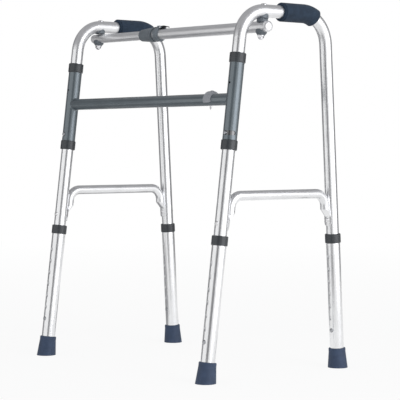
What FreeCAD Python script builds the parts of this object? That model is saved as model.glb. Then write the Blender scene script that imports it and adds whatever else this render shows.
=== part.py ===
import FreeCAD, Part
import math
import os

# Folding walking frame with two swinging side frames and telescopic legs.
# Millimetres, +Z up. The origin lies on the floor at the middle of the four feet,
# -Y is the front (the crossbar side) and +X is the right-hand side frame.

Vec = FreeCAD.Vector

# ---- overall layout ----
frame_width = 540.0          # between the axes of the two front legs
foot_spread = 351.0          # between front and rear leg axes at the floor
front_lean = 7.33            # degrees, front legs run forward towards the floor
rear_lean = 3.21             # degrees, rear legs run backward towards the floor
handle_height = 715.0        # axis of the handle tube at the lowest leg setting

# ---- side frame tube ----
side_tube_diameter = 25.4
side_tube_wall = 1.4
side_bend_radius = 62.0
inner_end_height = 30.0      # where the side tube ends inside the lower legs

# ---- telescopic lower legs ----
leg_tube_wall = 1.4
slide_clearance = 0.1        # radial, between tubes that slide or turn in each other
front_leg_height = 278.0     # top of the lower leg tube, front and rear
rear_leg_height = 272.0
leg_hole_pitch = 25.0
leg_hole_count = 7
leg_button_height = 77.5
leg_collar_length = 19.0
collar_thickness = 1.8
collar_lip = 2.0
edge_break = 1.2             # bevel on the edges of the collars, tips and lock ring

# ---- rubber tips ----
tip_height = 40.5
tip_top_diameter = 33.0
tip_bottom_diameter = 40.5
tip_floor = 9.0              # rubber under the end of the leg tube
tip_bead_height = 5.0
tip_bead_slope = 2.0
tip_bead_depth = 0.8
tread_depth = 1.6
tread_width = 1.8
tread_radii = (7.0, 12.5)

# ---- spring buttons ----
button_diameter = 8.0
button_clearance = 0.3       # radial, in the holes of both tubes
button_proud = 2.0           # above the outer tube
button_dome = 1.4
button_flange = 1.5          # flange radius step
button_flange_thickness = 1.2
spring_strip = 0.7
spring_width = 7.0
spring_arm = 34.0
spring_gap = 0.4

# ---- handle grips ----
grip_diameter = 37.5
grip_start = 98.0            # behind the front leg axis, along the handle
grip_wrap = 30.0             # degrees that the grip follows the rear bend
grip_bevel = 3.0
grip_fit = 0.05

# ---- front sleeves and crossbar ----
sleeve_wall = 1.4
sleeve_top_drop = 86.0       # top of the sleeve below the handle's axis
sleeve_span = 183.0
sleeve_collar_length = 19.5
crossbar_drop = 87.0         # crossbar below the top of the sleeve
crossbar_diameter = 23.5
crossbar_wall = 1.5
weld_size = 3.0
sleeve_button_rise = 30.0    # above the bottom of the sleeve
sleeve_hole_rise = 30.0      # above the crossbar, through the sleeve and the side tube's wall
sleeve_hole_diameter = 4.5
right_fold_range = 75.0
left_fold_range = 51.0       # ends where the bar's end comes near the bend of the side tube
slot_spare = 3.0             # degrees past each end of the swing

# ---- brace in each side frame ----
brace_diameter = 19.0
brace_wall = 1.2
brace_bend_radius = 26.0
brace_seat = 18.9            # brace end axis to leg axis
brace_end_gap = 13.0         # cup's tip above the higher of the lower legs
brace_cup_rise = 19.4        # straight cup, from its tip to the flare
brace_end_run = 1.0          # straight round end below each bend
brace_flare = 15.0           # length over which the round end is pressed to a cup
brace_cup_thickness = 3.0
brace_cup_width = 20.0
rivet_rise = 12.0            # above the cup's tip
rivet_diameter = 5.0
rivet_head_diameter = 9.5
rivet_head_height = 1.8

# ---- telescopic top bar ----
bar_inner_diameter = 19.05
bar_inner_wall = 1.2
bar_outer_diameter = 22.2
bar_outer_wall = 1.0
bar_setback = 54.0           # pivot bolt behind the front leg axis
bar_drop_left = 26.8         # handle axis to bar axis, along the bolt
bar_drop_right = 31.3
bar_overhang = 22.5          # bar past each pivot bolt
bar_mouth = -104.0           # left end of the outer tube, from the middle plane
bar_inner_end = 62.0         # right end of the inner tube, from the middle plane
bar_liner_length = 40.0
bar_liner_inset = 2.0        # behind the outer tube's mouth
bar_liner_clearance = 0.05
bar_cap_depth = 10.0
bar_cap_round = 6.0

# ---- bar end collar and lock ----
mouth_collar_length = 42.0
mouth_collar_small = 25.0
mouth_collar_large = 31.0
mouth_collar_band = 5.0      # round band at the large end
mouth_collar_lip = 7.0
mouth_collar_play = 0.3
lock_ring_centre = -54.0
lock_ring_width = 12.0
lock_ring_diameter = 30.5
lock_axle_height = 3.1       # above the bar
lock_axle_reach = 9.0        # past the middle of the ring
lock_ear_thickness = 3.0
lock_ear_radius = 2.8
lock_pin_diameter = 2.5
lock_pin_head = 4.6
lock_pin_head_height = 1.0
lever_width = 9.0
lever_play = 0.3
lever_hub_radius = 2.6
lever_nose_reach = 22.5      # before the axle, towards the bar's mouth
lever_nose_gap = 0.9         # over the bar
lever_nose_top = 4.4         # over the bar
lever_tab_reach = 18.0       # past the axle
lever_tab_thickness = 2.0
lever_tab_crown = 0.5
lever_tab_drop = 1.2

# ---- pivots ----
bolt_diameter = 6.0
bolt_clearance = 0.1
bolt_head_diameter = 12.0
bolt_head_height = 2.0
bolt_head_skirt = 9.0        # buried edge of the head, cut to the round of the tube
saddle_diameter = 22.5
saddle_floor = 3.1           # of the tube saddles, under the handle tube
saddle_gap = 0.3             # between the two saddles of the right pivot
saddle_wrap = 2.9            # how far the right bar saddle reaches down over the bar
saddle_fit = 0.05
saddle_bevel = 1.2
lower_bush_height = 11.0
lower_bush_below = 6.0       # underside of the bush below the bar
lower_bush_taper = 5.0
lower_bush_diameter = 22.0
lower_bush_bottom = 14.0
nut_across = 11.0
nut_height = 5.0
nut_chamfer = 0.6
nut_dome_radius = 5.0
nut_dome_height = 4.4
nut_flange_step = 0.8
nut_flange_height = 1.0
nut_tail_inset = 0.5         # end of the left nut's bolt, inside the bar's upper wall
bolt_end_inset = 0.5         # end of the right bolt, inside its nut
nut_fit = 0.05               # radial, on the right pivot bolt

# ---- clip on the crossbar ----
clip_inset = 66.0            # from the right sleeve's axis
clip_width = 22.0
clip_thickness = 1.6
clip_crown = 3.6
clip_shoulder = 5.0
clip_wrap = 118.0            # degrees each way from the top
clip_screw_diameter = 4.2
clip_screw_tip = 8.5
clip_screw_cone = 4.5
clip_screw_head = 8.0
clip_screw_head_height = 1.6

# ---- modelling ----
rim_tolerance = 1e-5         # of a rim's length, to pick the end edges of a swept tube
dome_steps = 4               # rings in a domed head
cut_margin = 1.0             # how far a cut stands past the wall that it opens
tool_reach = 60.0            # half length of a cut that goes right through a piece

# ---- worked-out values ----
side_radius = side_tube_diameter / 2
side_bore = side_radius - side_tube_wall
tube_saddle_drop = side_radius + saddle_floor
outer_bore = side_radius + slide_clearance
leg_radius = outer_bore + leg_tube_wall
sleeve_radius = outer_bore + sleeve_wall
crossbar_radius = crossbar_diameter / 2
brace_radius = brace_diameter / 2
inner_bar_radius = bar_inner_diameter / 2
outer_bar_radius = bar_outer_diameter / 2
outer_bar_bore = outer_bar_radius - bar_outer_wall
button_radius = button_diameter / 2
button_hole = button_radius + button_clearance
flange_radius = button_radius + button_flange
flange_limit = math.sqrt(side_bore ** 2 - flange_radius ** 2)
button_seat = flange_limit - button_flange_thickness - spring_gap
bolt_radius = bolt_diameter / 2
bolt_hole = bolt_radius + bolt_clearance
rivet_hole_radius = rivet_diameter / 2
clip_screw_radius = clip_screw_diameter / 2
collar_bore = outer_bore + slide_clearance
lean = math.radians(front_lean)
trail = math.radians(rear_lean)
sleeve_top_height = handle_height - sleeve_top_drop
sleeve_bottom_height = sleeve_top_height - sleeve_span
crossbar_height = sleeve_top_height - crossbar_drop
sleeve_button_height = sleeve_bottom_height + sleeve_button_rise
sleeve_hole_height = crossbar_height + sleeve_hole_rise
brace_end_height = max(front_leg_height, rear_leg_height) + brace_end_gap
rivet_height = brace_end_height + rivet_rise
flare_bottom = brace_end_height + brace_cup_rise
flare_top = flare_bottom + brace_flare
brace_bend_reach = brace_bend_radius / math.tan((math.pi / 2 - lean) / 2)
brace_height = flare_top + brace_end_run + brace_bend_reach
front_up = Vec(0, math.sin(lean), math.cos(lean))
rear_up = Vec(0, -math.sin(trail), math.cos(trail))
front_forward = Vec(0, -math.cos(lean), math.sin(lean))
rear_forward = Vec(0, -math.cos(trail), -math.sin(trail))
inner_bar_bore = inner_bar_radius - bar_inner_wall
SIDES = {"left": -1, "right": 1}
PIVOTS = {-1: (bar_drop_left, inner_bar_radius), 1: (bar_drop_right, outer_bar_radius)}
across = Vec(1, 0, 0)
upright = Vec(0, 0, 1)


def front_axis(side, height):
    """Point of a front leg's axis at a height above the floor."""
    return Vec(side * frame_width / 2, -foot_spread / 2 + height * math.tan(lean), height)


def rear_axis(side, height):
    """Point of a rear leg's axis at a height above the floor."""
    return Vec(side * frame_width / 2, foot_spread / 2 - height * math.tan(trail), height)


LEGS = {
    "front": (front_axis, front_up, front_forward, front_leg_height),
    "rear": (rear_axis, rear_up, rear_forward, rear_leg_height),
}


def bolt_point(side, drop):
    """Point of a pivot bolt's axis, at a distance below the handle axis."""
    on_handle = front_axis(side, handle_height) + Vec(0, bar_setback, 0)
    return on_handle - front_up * drop


bar_left = bolt_point(-1, bar_drop_left)
bar_right = bolt_point(1, bar_drop_right)
bar_run = (bar_right - bar_left).normalize()
bar_back = front_up.cross(bar_run).normalize()
bar_top = bar_run.cross(bar_back).normalize()


def bar_point(station):
    """Point of the top bar's axis at a distance from the middle plane."""
    middle = (bar_left + bar_right) * 0.5
    return middle + bar_run * (station / bar_run.x)


def frame_at(origin, axis, reference):
    """Placement whose Z is the axis and whose X leans towards the reference."""
    z = Vec(axis).normalize()
    y = z.cross(reference).normalize()
    x = y.cross(z)
    turn = FreeCAD.Matrix(x.x, y.x, z.x, origin.x, x.y, y.y, z.y, origin.y,
                          x.z, y.z, z.z, origin.z, 0, 0, 0, 1)
    return FreeCAD.Placement(turn)


def rod(start, axis, radius, length):
    return Part.makeCylinder(radius, length, start, axis)


def drill(point, axis, radius):
    """Cutter that goes right through a piece, centred on a point."""
    return rod(point - axis * tool_reach, axis, radius, tool_reach * 2)


def tube(start, end, outer, inner):
    axis = end - start
    solid = rod(start, axis, outer, axis.Length)
    return solid.cut(rod(start, axis, inner, axis.Length))


def turned(profile, placement):
    """Full revolve of (radius, height) points about the placement's Z axis."""
    points = [Vec(radius, 0, height) for radius, height in profile]
    points.append(points[0])
    face = Part.Face(Part.makePolygon(points))
    solid = face.revolve(Vec(0, 0, 0), upright, 360)
    solid.Placement = placement
    return solid


def dome(radius, base, rise):
    """Outline of a round crown, from its rim to the axis."""
    points = []
    for step in range(dome_steps):
        angle = math.pi / 2 * step / dome_steps
        points.append((radius * math.cos(angle), base + rise * math.sin(angle)))
    return points + [(0, base + rise)]


def bent_path(points, radii):
    """Wire of straight runs with a tangent arc at each inner point."""
    edges = []
    start = points[0]
    for before, corner, after, radius in zip(points, points[1:], points[2:], radii):
        towards = (before - corner).normalize()
        onward = (after - corner).normalize()
        half = towards.getAngle(onward) / 2
        reach = radius / math.tan(half)
        entry = corner + towards * reach
        leave = corner + onward * reach
        inward = (towards + onward).normalize()
        middle = corner + inward * (radius / math.sin(half) - radius)
        edges.append(Part.LineSegment(start, entry).toShape())
        edges.append(Part.Arc(entry, middle, leave).toShape())
        start = leave
    edges.append(Part.LineSegment(start, points[-1]).toShape())
    return Part.Wire(edges)


def swept(path, start, axis, radius):
    disc = Part.Face(Part.Wire(Part.makeCircle(radius, start, axis)))
    return path.makePipe(disc)


def swept_tube(points, radii, outer, inner):
    path = bent_path(points, radii)
    axis = points[1] - points[0]
    return swept(path, points[0], axis, outer).cut(swept(path, points[0], axis, inner))


def single(shape):
    """The one solid that a boolean left, without its compound."""
    return shape.Solids[0] if len(shape.Solids) == 1 else shape


# ---- spring buttons: height on the leg, leg kind, radius of the tube outside ----

def button_places(side):
    places = [(kind, leg_button_height, leg_radius, "leg_" + kind) for kind in LEGS]
    places.append(("front", sleeve_button_height, sleeve_radius, "sleeve"))
    return places


def button_frame(side, kind, height):
    """Z points out of the button and X runs up the leg."""
    axis, up, forward, _top = LEGS[kind]
    return frame_at(axis(side, height), forward, up)


def make_button(side, kind, height, outside):
    """Domed pin with a flange and the free arm of its leaf spring."""
    shoulder = button_seat + button_flange_thickness
    outline = [(0, button_seat), (flange_radius, button_seat), (flange_radius, shoulder)]
    outline.append((button_radius, shoulder))
    outline += dome(button_radius, outside + button_proud - button_dome, button_dome)
    pin = turned(outline, FreeCAD.Placement())
    arm = Part.makeBox(spring_arm, spring_width, spring_strip)
    arm.translate(Vec(button_radius - spring_arm, -spring_width / 2, button_seat - spring_strip))
    solid = single(pin.fuse(arm).removeSplitter())
    solid.Placement = button_frame(side, kind, height)
    return solid


def make_spring(side, kind, height):
    """Fixed arm and bow of the leaf spring, against the back of the tube."""
    back = math.sqrt(side_bore ** 2 - (spring_width / 2) ** 2) - spring_strip
    front = button_seat - spring_strip / 2
    low = -spring_arm + button_radius - spring_gap
    middle = (front - back) / 2
    reach = (front + back) / 2
    front_end = Vec(low, 0, middle + reach)
    back_end = Vec(low, 0, middle - reach)
    bow = Part.Arc(front_end, Vec(low - reach, 0, middle), back_end).toShape()
    arm = Part.LineSegment(back_end, back_end + Vec(spring_arm, 0, 0)).toShape()
    path = Part.Wire([bow, arm])
    half = spring_width / 2
    corners = [(-half, -spring_strip / 2), (half, -spring_strip / 2)]
    corners += [(half, spring_strip / 2), (-half, spring_strip / 2)]
    ring = [Vec(front_end.x, y, front_end.z + z) for y, z in corners]
    strip = Part.Face(Part.makePolygon(ring + ring[:1]))
    solid = path.makePipe(strip)
    solid.Placement = button_frame(side, kind, height)
    return solid


def button_bore(side, kind, height):
    axis, _up, forward, _top = LEGS[kind]
    return rod(axis(side, height), forward, button_hole, leg_radius * 2)


# ---- side frames ----

def brace_point(kind, side, height):
    """Centre of the brace end, square to a point of the leg's axis."""
    axis, _up, forward, _top = LEGS[kind]
    step = -brace_seat if kind == "front" else brace_seat
    return axis(side, height) + forward * step


def brace_corner(kind, side):
    """Where the brace end's axis meets the level of the brace."""
    point = brace_point(kind, side, brace_height)
    up = LEGS[kind][1]
    return point + up * ((brace_height - point.z) / up.z)


def rivet_frame(side, kind):
    axis, up, forward, _top = LEGS[kind]
    return frame_at(axis(side, rivet_height), forward, up)


def rivet_hole(side, kind):
    axis, _up, forward, _top = LEGS[kind]
    return drill(axis(side, rivet_height), forward, rivet_hole_radius)


def peep_hole(side):
    """Small hole at the front of the sleeve and of the side tube in it."""
    return rod(front_axis(side, sleeve_hole_height), front_forward,
               sleeve_hole_diameter / 2, sleeve_radius * 2)


def make_side_tube(side):
    points = [front_axis(side, inner_end_height), front_axis(side, handle_height)]
    points += [rear_axis(side, handle_height), rear_axis(side, inner_end_height)]
    bends = [side_bend_radius, side_bend_radius]
    solid = swept_tube(points, bends, side_radius, side_bore)
    for kind, height, _outside, _name in button_places(side):
        solid = solid.cut(button_bore(side, kind, height))
    for kind in LEGS:
        solid = solid.cut(rivet_hole(side, kind))
    solid = solid.cut(peep_hole(side))
    bolt_drill = rod(bolt_point(side, tool_reach / 2), front_up, bolt_hole, tool_reach)
    return single(solid.cut(bolt_drill))


def cup_section(kind, side, height):
    """Crescent that hugs the leg, as the pressed end of the brace does."""
    axis, _up, forward, _top = LEGS[kind]
    towards = forward * -1 if kind == "front" else forward
    centre = axis(side, height)
    inner = side_radius
    outer = inner + brace_cup_thickness
    half = math.asin(brace_cup_width / 2 / outer)

    def at(radius, angle):
        return centre + towards * (radius * math.cos(angle)) + across * (radius * math.sin(angle))

    edges = [Part.Arc(at(outer, -half), at(outer, 0), at(outer, half)).toShape()]
    edges.append(Part.LineSegment(at(outer, half), at(inner, half)).toShape())
    edges.append(Part.Arc(at(inner, half), at(inner, 0), at(inner, -half)).toShape())
    edges.append(Part.LineSegment(at(inner, -half), at(outer, -half)).toShape())
    return Part.Wire(edges)


def round_section(kind, side, height):
    """The brace's circle in four pieces that match the crescent's edges."""
    _axis, _up, forward, _top = LEGS[kind]
    towards = forward * -1 if kind == "front" else forward
    centre = brace_point(kind, side, height)

    def at(degrees):
        angle = math.radians(degrees)
        spoke = towards * math.cos(angle) + across * math.sin(angle)
        return centre + spoke * brace_radius

    stops = [(-80, 0, 80), (80, 95, 110), (110, 180, 250), (250, 265, 280)]
    edges = [Part.Arc(at(a), at(b), at(c)).toShape() for a, b, c in stops]
    return Part.Wire(edges)


def make_flare(side, kind):
    """Brace end between its round tube and the cup that it is pressed to."""
    sections = [round_section(kind, side, flare_top)]
    sections.append(cup_section(kind, side, flare_bottom))
    return Part.makeLoft(sections, True, True)


def make_cup(side, kind):
    """Cup that runs down the leg to a rounded tip below the rivet."""
    up = LEGS[kind][1]
    run = up * ((brace_end_height - flare_bottom) / up.z)
    cup = Part.Face(cup_section(kind, side, flare_bottom)).extrude(run)
    reach = brace_cup_width / 2
    centre = reach - (rivet_height - brace_end_height)
    plate = Part.makeBox(tool_reach, brace_cup_width * 2, tool_reach * 2)
    plate.translate(Vec(centre, -brace_cup_width, -tool_reach))
    disc = Part.makeCylinder(reach, tool_reach * 2, Vec(centre, 0, -tool_reach))
    keep = plate.fuse(disc)
    keep.Placement = rivet_frame(side, kind)
    return cup.common(keep)


def make_brace(side):
    points = [brace_point("front", side, flare_top), brace_corner("front", side)]
    points += [brace_corner("rear", side), brace_point("rear", side, flare_top)]
    bends = [brace_bend_radius, brace_bend_radius]
    solid = swept_tube(points, bends, brace_radius, brace_radius - brace_wall)
    for kind in LEGS:
        axis, up, _forward, _top = LEGS[kind]
        leg = rod(axis(side, flare_bottom), up, side_radius, tool_reach)
        solid = solid.fuse(make_flare(side, kind)).cut(leg)
        solid = solid.fuse(make_cup(side, kind).cut(rivet_hole(side, kind)))
    return single(solid)


def rivet_end(side, kind, outward, seat_radius):
    """Domed rivet head, seated on a round face about the leg's axis."""
    axis, up, _forward, _top = LEGS[kind]
    head = rivet_head_diameter / 2
    outline = [(0, seat_radius - head), (head, seat_radius - head)]
    outline += dome(head, seat_radius, rivet_head_height)
    solid = turned(outline, frame_at(axis(side, rivet_height), outward, up))
    return solid.cut(drill(axis(side, rivet_height), up, seat_radius))


def make_rivets(side):
    """Two domed rivets, each through a leg and the cup that lies on it."""
    rivets = []
    cup = side_radius + brace_cup_thickness
    for kind, front_seat, rear_seat in (("front", side_radius, cup), ("rear", cup, side_radius)):
        axis, _up, forward, _top = LEGS[kind]
        tail = axis(side, rivet_height) - forward * rear_seat
        shank = rod(tail, forward, rivet_diameter / 2, front_seat + rear_seat)
        solid = shank.fuse(rivet_end(side, kind, forward, front_seat))
        solid = solid.fuse(rivet_end(side, kind, forward * -1, rear_seat))
        rivets.append(single(solid.removeSplitter()))
    return Part.makeCompound(rivets)


def make_grip(side):
    """Foam tube that starts on the straight handle and follows the rear bend."""
    corner = rear_axis(side, handle_height)
    start = front_axis(side, handle_height) + Vec(0, grip_start, 0)
    full = math.radians(90.0 - rear_lean)
    reach = side_bend_radius * math.tan(full / 2)
    entry = corner - Vec(0, reach, 0)
    centre = entry - Vec(0, 0, side_bend_radius)

    def on_bend(degrees):
        angle = math.radians(degrees)
        spoke = Vec(0, math.sin(angle), math.cos(angle))
        return centre + spoke * side_bend_radius

    straight = Part.LineSegment(start, entry).toShape()
    bend = Part.Arc(entry, on_bend(grip_wrap / 2), on_bend(grip_wrap)).toShape()
    path = Part.Wire([straight, bend])
    ahead = Vec(0, 1, 0)
    solid = swept(path, start, ahead, grip_diameter / 2)
    rim = math.pi * grip_diameter
    ends = [edge for edge in solid.Edges if math.isclose(edge.Length, rim, rel_tol=rim_tolerance)]
    solid = solid.makeChamfer(grip_bevel, ends)
    return single(solid.cut(swept(path, start, ahead, side_radius + grip_fit)))


# ---- lower legs ----

def leg_foot(kind, side):
    """Lower end of the leg tube, on its axis."""
    axis = LEGS[kind][0]
    return axis(side, tip_floor)


def make_lower_leg(side, kind):
    axis, up, forward, top = LEGS[kind]
    solid = tube(leg_foot(kind, side), axis(side, top), leg_radius, outer_bore)
    first = axis(side, leg_button_height)
    for index in range(leg_hole_count):
        place = first + up * (index * leg_hole_pitch)
        solid = solid.cut(rod(place, forward, button_hole, leg_radius * 2))
    return single(solid)


def collar_outline(length, inside, bore):
    """Cup with a lip that closes over the tube's end, opening downwards."""
    outside = inside + collar_thickness
    outline = [(inside, -length + collar_lip), (inside, 0), (bore, 0), (bore, collar_lip)]
    outline += [(outside - edge_break, collar_lip), (outside, collar_lip - edge_break)]
    outline += [(outside, -length + collar_lip + edge_break)]
    outline += [(outside - edge_break, -length + collar_lip)]
    return outline


def make_leg_collar(side, kind):
    axis, up, _forward, top = LEGS[kind]
    outline = collar_outline(leg_collar_length, leg_radius, collar_bore)
    return turned(outline, frame_at(axis(side, top), up, across))


def tip_radius(height):
    """Radius of the tip's cone at a distance above the floor."""
    spread = (tip_bottom_diameter - tip_top_diameter) / 2
    return tip_bottom_diameter / 2 - spread * height / tip_height


def make_tip(side, kind):
    """Rubber tip turned about the leg's axis, with its sole cut level."""
    axis, up, _forward, _top = LEGS[kind]
    bead = tip_radius(tip_height) + tip_bead_depth
    neck = tip_height - tip_bead_height - tip_bead_slope
    outline = [(0, -tip_floor), (tip_radius(-tip_floor), -tip_floor), (tip_radius(neck), neck)]
    outline += [(bead, tip_height - tip_bead_height), (bead, tip_height - edge_break)]
    outline += [(bead - edge_break, tip_height), (0, tip_height)]
    centre = axis(side, 0)
    solid = turned(outline, frame_at(centre, up, across))
    solid = solid.cut(rod(leg_foot(kind, side), up, leg_radius, tip_height))
    for radius in tread_radii:
        ring = Part.makeCylinder(radius + tread_width, tread_depth, centre)
        solid = solid.cut(ring.cut(Part.makeCylinder(radius, tread_depth, centre)))
    width = tip_bottom_diameter * 2
    below = Part.makeBox(width, width, width, centre - Vec(width / 2, width / 2, width))
    return single(solid.cut(below))


# ---- front frame ----

def make_sleeve(side):
    fold = right_fold_range if side > 0 else left_fold_range
    solid = tube(front_axis(side, sleeve_bottom_height), front_axis(side, sleeve_top_height),
                 sleeve_radius, outer_bore)
    centre = front_axis(side, sleeve_button_height)
    start = -slot_spare
    sweep = fold + slot_spare * 2
    inner = side_radius - cut_margin
    outer = sleeve_radius + cut_margin
    corners = [(inner, -button_hole), (outer, -button_hole)]
    corners += [(outer, button_hole), (inner, button_hole)]
    ring = [centre + front_forward * radius + front_up * height for radius, height in corners]
    band = Part.Face(Part.makePolygon(ring + ring[:1]))
    slot = band.revolve(centre, front_up, side * sweep)
    slot.rotate(centre, front_up, side * start)
    solid = solid.cut(slot)
    for angle in (start, start + sweep):
        end = rod(centre, front_forward, button_hole, outer)
        end.rotate(centre, front_up, side * angle)
        solid = solid.cut(end)
    return single(solid.cut(peep_hole(side)))


def make_sleeve_collar(side, top):
    outline = collar_outline(sleeve_collar_length, sleeve_radius, collar_bore)
    height = sleeve_top_height if top else sleeve_bottom_height
    up = front_up if top else front_up * -1
    return turned(outline, frame_at(front_axis(side, height), up, across))


def crossbar_ends():
    return front_axis(-1, crossbar_height), front_axis(1, crossbar_height)


def make_crossbar():
    """Round tube, fish-mouthed at both ends to the sleeves."""
    start, end = crossbar_ends()
    solid = tube(start, end, crossbar_radius, crossbar_radius - crossbar_wall)
    for point in (start, end):
        solid = solid.cut(drill(point, front_up, sleeve_radius))
    return single(solid.cut(drill(clip_point(), front_up, clip_screw_radius)))


def make_weld(side):
    """Fillet bead round the fish-mouth of the crossbar."""
    centre = front_axis(side, crossbar_height)
    inward = across * -side
    post = drill(centre, front_up, sleeve_radius)
    arm = rod(centre, inward, crossbar_radius, tool_reach)
    joined = post.fuse(arm).removeSplitter()
    seam = []
    for edge in joined.Edges:
        reach = max(abs((vertex.Point - centre).dot(front_up)) for vertex in edge.Vertexes)
        middle = edge.valueAt((edge.FirstParameter + edge.LastParameter) / 2)
        out = (middle - centre).dot(inward)
        if reach < crossbar_radius + cut_margin and cut_margin < out < sleeve_radius:
            seam.append(edge)
    filleted = joined.makeFillet(weld_size, seam)
    return single(filleted.cut(post).cut(arm))


# ---- crossbar clip ----

def clip_point():
    """Middle of the clip, on the crossbar's axis."""
    return front_axis(1, crossbar_height) - across * clip_inset


def make_clip():
    """Crowned saddle that wraps over the crossbar."""
    half = clip_width / 2
    rim = crossbar_radius + clip_thickness
    crown = rim + clip_crown
    outline = [(-half, crossbar_radius), (half, crossbar_radius), (half, rim)]
    outline += [(half - clip_shoulder, crown), (clip_shoulder - half, crown), (-half, rim)]
    ring = [clip_point() + across * along + front_up * radius for along, radius in outline]
    face = Part.Face(Part.makePolygon(ring + ring[:1]))
    solid = face.revolve(clip_point(), across, clip_wrap * 2)
    solid.rotate(clip_point(), across, -clip_wrap)
    hole = rod(clip_point(), front_up, clip_screw_radius, tool_reach)
    return single(solid.cut(hole))


def make_clip_screw():
    """Pointed screw down through the clip and the crossbar."""
    top = crossbar_radius + clip_thickness + clip_crown
    low = -crossbar_radius - clip_screw_tip
    outline = [(0, low), (clip_screw_radius, low + clip_screw_cone), (clip_screw_radius, top)]
    outline += dome(clip_screw_head / 2, top, clip_screw_head_height)
    return turned(outline, frame_at(clip_point(), front_up, across))


# ---- top bar ----

def bar_drill(side):
    return drill(bolt_point(side, PIVOTS[side][0]), front_up, bolt_hole)


def bar_end(side):
    """Station of the bar tube's end, where the end cap's crown begins."""
    return side * (frame_width / 2 + bar_overhang - bar_cap_round)


def make_inner_bar():
    solid = tube(bar_point(bar_end(-1)), bar_point(bar_inner_end), inner_bar_radius, inner_bar_bore)
    return single(solid.cut(bar_drill(-1)))


def make_outer_bar():
    solid = tube(bar_point(bar_mouth), bar_point(bar_end(1)), outer_bar_radius, outer_bar_bore)
    return single(solid.cut(bar_drill(1)))


def make_bar_cap(side):
    """Rounded metal end cap, plugged into the bar."""
    outside = PIVOTS[side][1]
    plug = inner_bar_bore if side < 0 else outer_bar_bore
    flat = outside - bar_cap_round
    outline = [(0, -bar_cap_depth), (plug, -bar_cap_depth), (plug, 0)]
    outline += [(flat + radius, height) for radius, height in dome(bar_cap_round, 0, bar_cap_round)]
    outline.append((0, bar_cap_round))
    return turned(outline, frame_at(bar_point(bar_end(side)), bar_run * side, upright))


def make_bar_liner():
    start = bar_point(bar_mouth + bar_liner_inset)
    return tube(start, start + bar_run * bar_liner_length, outer_bar_bore - bar_liner_clearance,
                inner_bar_radius + bar_liner_clearance)


def make_mouth_collar():
    """Tapered cup over the outer bar's mouth, lipped down to the inner bar."""
    small = mouth_collar_small / 2
    large = mouth_collar_large / 2
    bore = inner_bar_radius + mouth_collar_play
    low = -mouth_collar_lip
    high = mouth_collar_length - mouth_collar_lip
    outline = [(bore, low), (small - edge_break, low), (small, low + edge_break)]
    outline += [(large, high - mouth_collar_band), (large, high - edge_break)]
    outline += [(large - edge_break, high), (outer_bar_radius, high), (outer_bar_radius, 0), (bore, 0)]
    return turned(outline, frame_at(bar_point(bar_mouth), bar_run, upright))


# ---- lock on the outer bar: heights are measured up from the bar's axis ----

def lock_frame():
    """Origin at the lock ring's middle, Z along the bar, X up."""
    return frame_at(bar_point(lock_ring_centre), bar_run, bar_top)


lock_axle_up = outer_bar_radius + lock_axle_height
crosswise = Vec(0, 1, 0)     # in the lock's own frame


def lock_pin_hole():
    centre = Vec(lock_axle_up, 0, lock_axle_reach)
    return drill(centre, crosswise, lock_pin_diameter / 2 + bolt_clearance)


def make_lock_clip():
    """Ring round the outer bar, open at the top between two ears that carry the lever."""
    radius = lock_ring_diameter / 2
    half = lock_ring_width / 2
    outline = [(outer_bar_radius, -half), (radius - edge_break, -half), (radius, edge_break - half)]
    outline += [(radius, half - edge_break), (radius - edge_break, half), (outer_bar_radius, half)]
    ring = turned(outline, FreeCAD.Placement())
    inside = lever_width / 2 + lever_play
    slot = Part.makeBox(radius, inside * 2, lock_ring_width * 2, Vec(0, -inside, -lock_ring_width))
    ring = ring.cut(slot)
    for low in (inside, -inside - lock_ear_thickness):
        corner = Vec(lock_axle_up - lock_ear_radius, low, 0)
        ear = Part.makeBox(lock_ear_radius * 2, lock_ear_thickness, lock_axle_reach, corner)
        eye_centre = Vec(lock_axle_up, low, lock_axle_reach)
        eye = Part.makeCylinder(lock_ear_radius, lock_ear_thickness, eye_centre, crosswise)
        ring = ring.fuse(ear).fuse(eye)
    bar = Part.makeCylinder(outer_bar_radius, tool_reach, Vec(0, 0, -tool_reach / 2))
    solid = ring.cut(lock_pin_hole()).cut(bar).removeSplitter()
    solid.Placement = lock_frame()
    return single(solid)


def make_lock_lever():
    """Thumb tab on one side of the axle and a long nose over the bar on the other."""
    nose_low = outer_bar_radius + lever_nose_gap
    nose_high = outer_bar_radius + lever_nose_top
    hub_top = lock_axle_up + lever_hub_radius
    nose_end = lock_axle_reach - lever_nose_reach
    tab_end = lock_axle_reach + lever_tab_reach
    tab_middle = lock_axle_reach + lever_tab_reach / 2
    under_hub = lock_axle_reach + lever_hub_radius
    crown = Vec(hub_top + lever_tab_crown, 0, tab_middle)
    tip = Vec(hub_top - lever_tab_drop, 0, tab_end)
    thickness = Vec(lever_tab_thickness, 0, 0)
    top_arc = Part.Arc(Vec(hub_top, 0, lock_axle_reach), crown, tip)
    start = Vec(nose_low, 0, nose_end + edge_break)
    corners = [start, Vec(nose_low + edge_break, 0, nose_end), Vec(nose_high, 0, nose_end)]
    corners += [Vec(nose_high, 0, lock_axle_reach - lever_hub_radius * 2), Vec(hub_top, 0, lock_axle_reach)]
    under_start = Vec(hub_top, 0, under_hub) - thickness
    edges = [Part.LineSegment(a, b).toShape() for a, b in zip(corners, corners[1:])]
    edges.append(top_arc.toShape())
    edges.append(Part.LineSegment(tip, tip - thickness).toShape())
    edges.append(Part.Arc(tip - thickness, crown - thickness, under_start).toShape())
    edges.append(Part.LineSegment(under_start, Vec(nose_low, 0, lock_axle_reach)).toShape())
    edges.append(Part.LineSegment(Vec(nose_low, 0, lock_axle_reach), start).toShape())
    solid = Part.Face(Part.Wire(edges)).extrude(crosswise * lever_width)
    solid.translate(crosswise * (-lever_width / 2))
    solid = solid.cut(lock_pin_hole())
    solid.Placement = lock_frame()
    return single(solid)


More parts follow.
